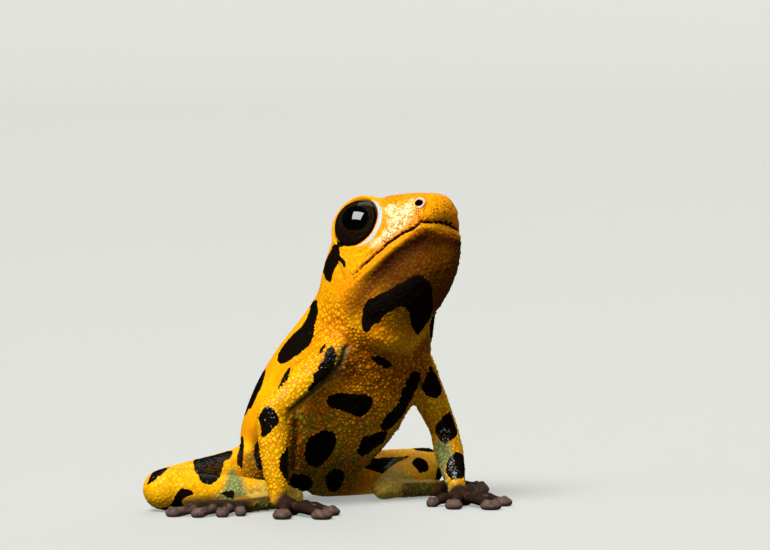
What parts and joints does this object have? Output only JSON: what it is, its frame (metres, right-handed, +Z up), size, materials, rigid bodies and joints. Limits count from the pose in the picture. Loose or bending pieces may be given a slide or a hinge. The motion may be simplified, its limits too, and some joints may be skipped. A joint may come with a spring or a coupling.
{
  "type": "mimic poison frog model",
  "caption": "Small orange and black poison frog sitting upright on its hands with its head raised, as a still life-size model.",
  "frame": {"origin": "centre of the model's bounding box in plan, on the plane that its soles, thighs and rump rest on", "axes": "+X the way the frog faces, +Y towards its left side, +Z up"},
  "size_m": [0.0146, 0.0222, 0.0166],
  "materials": {
    "skin": "moist, finely granular, orange with black spots",
    "eye": "wet gloss"
  },
  "bodies": {
    "root": {"eye_left": "eye", "eye_right": "eye", "foot_left": "skin", "foot_right": "skin", "forearm_left": "skin", "forearm_right": "skin", "hand_left": "skin", "hand_right": "skin", "head": "skin", "shank_left": "skin", "shank_right": "skin", "thigh_left": "skin", "thigh_right": "skin", "torso": "skin", "upper_arm_left": "skin", "upper_arm_right": "skin"}
  },
  "joints": []
}
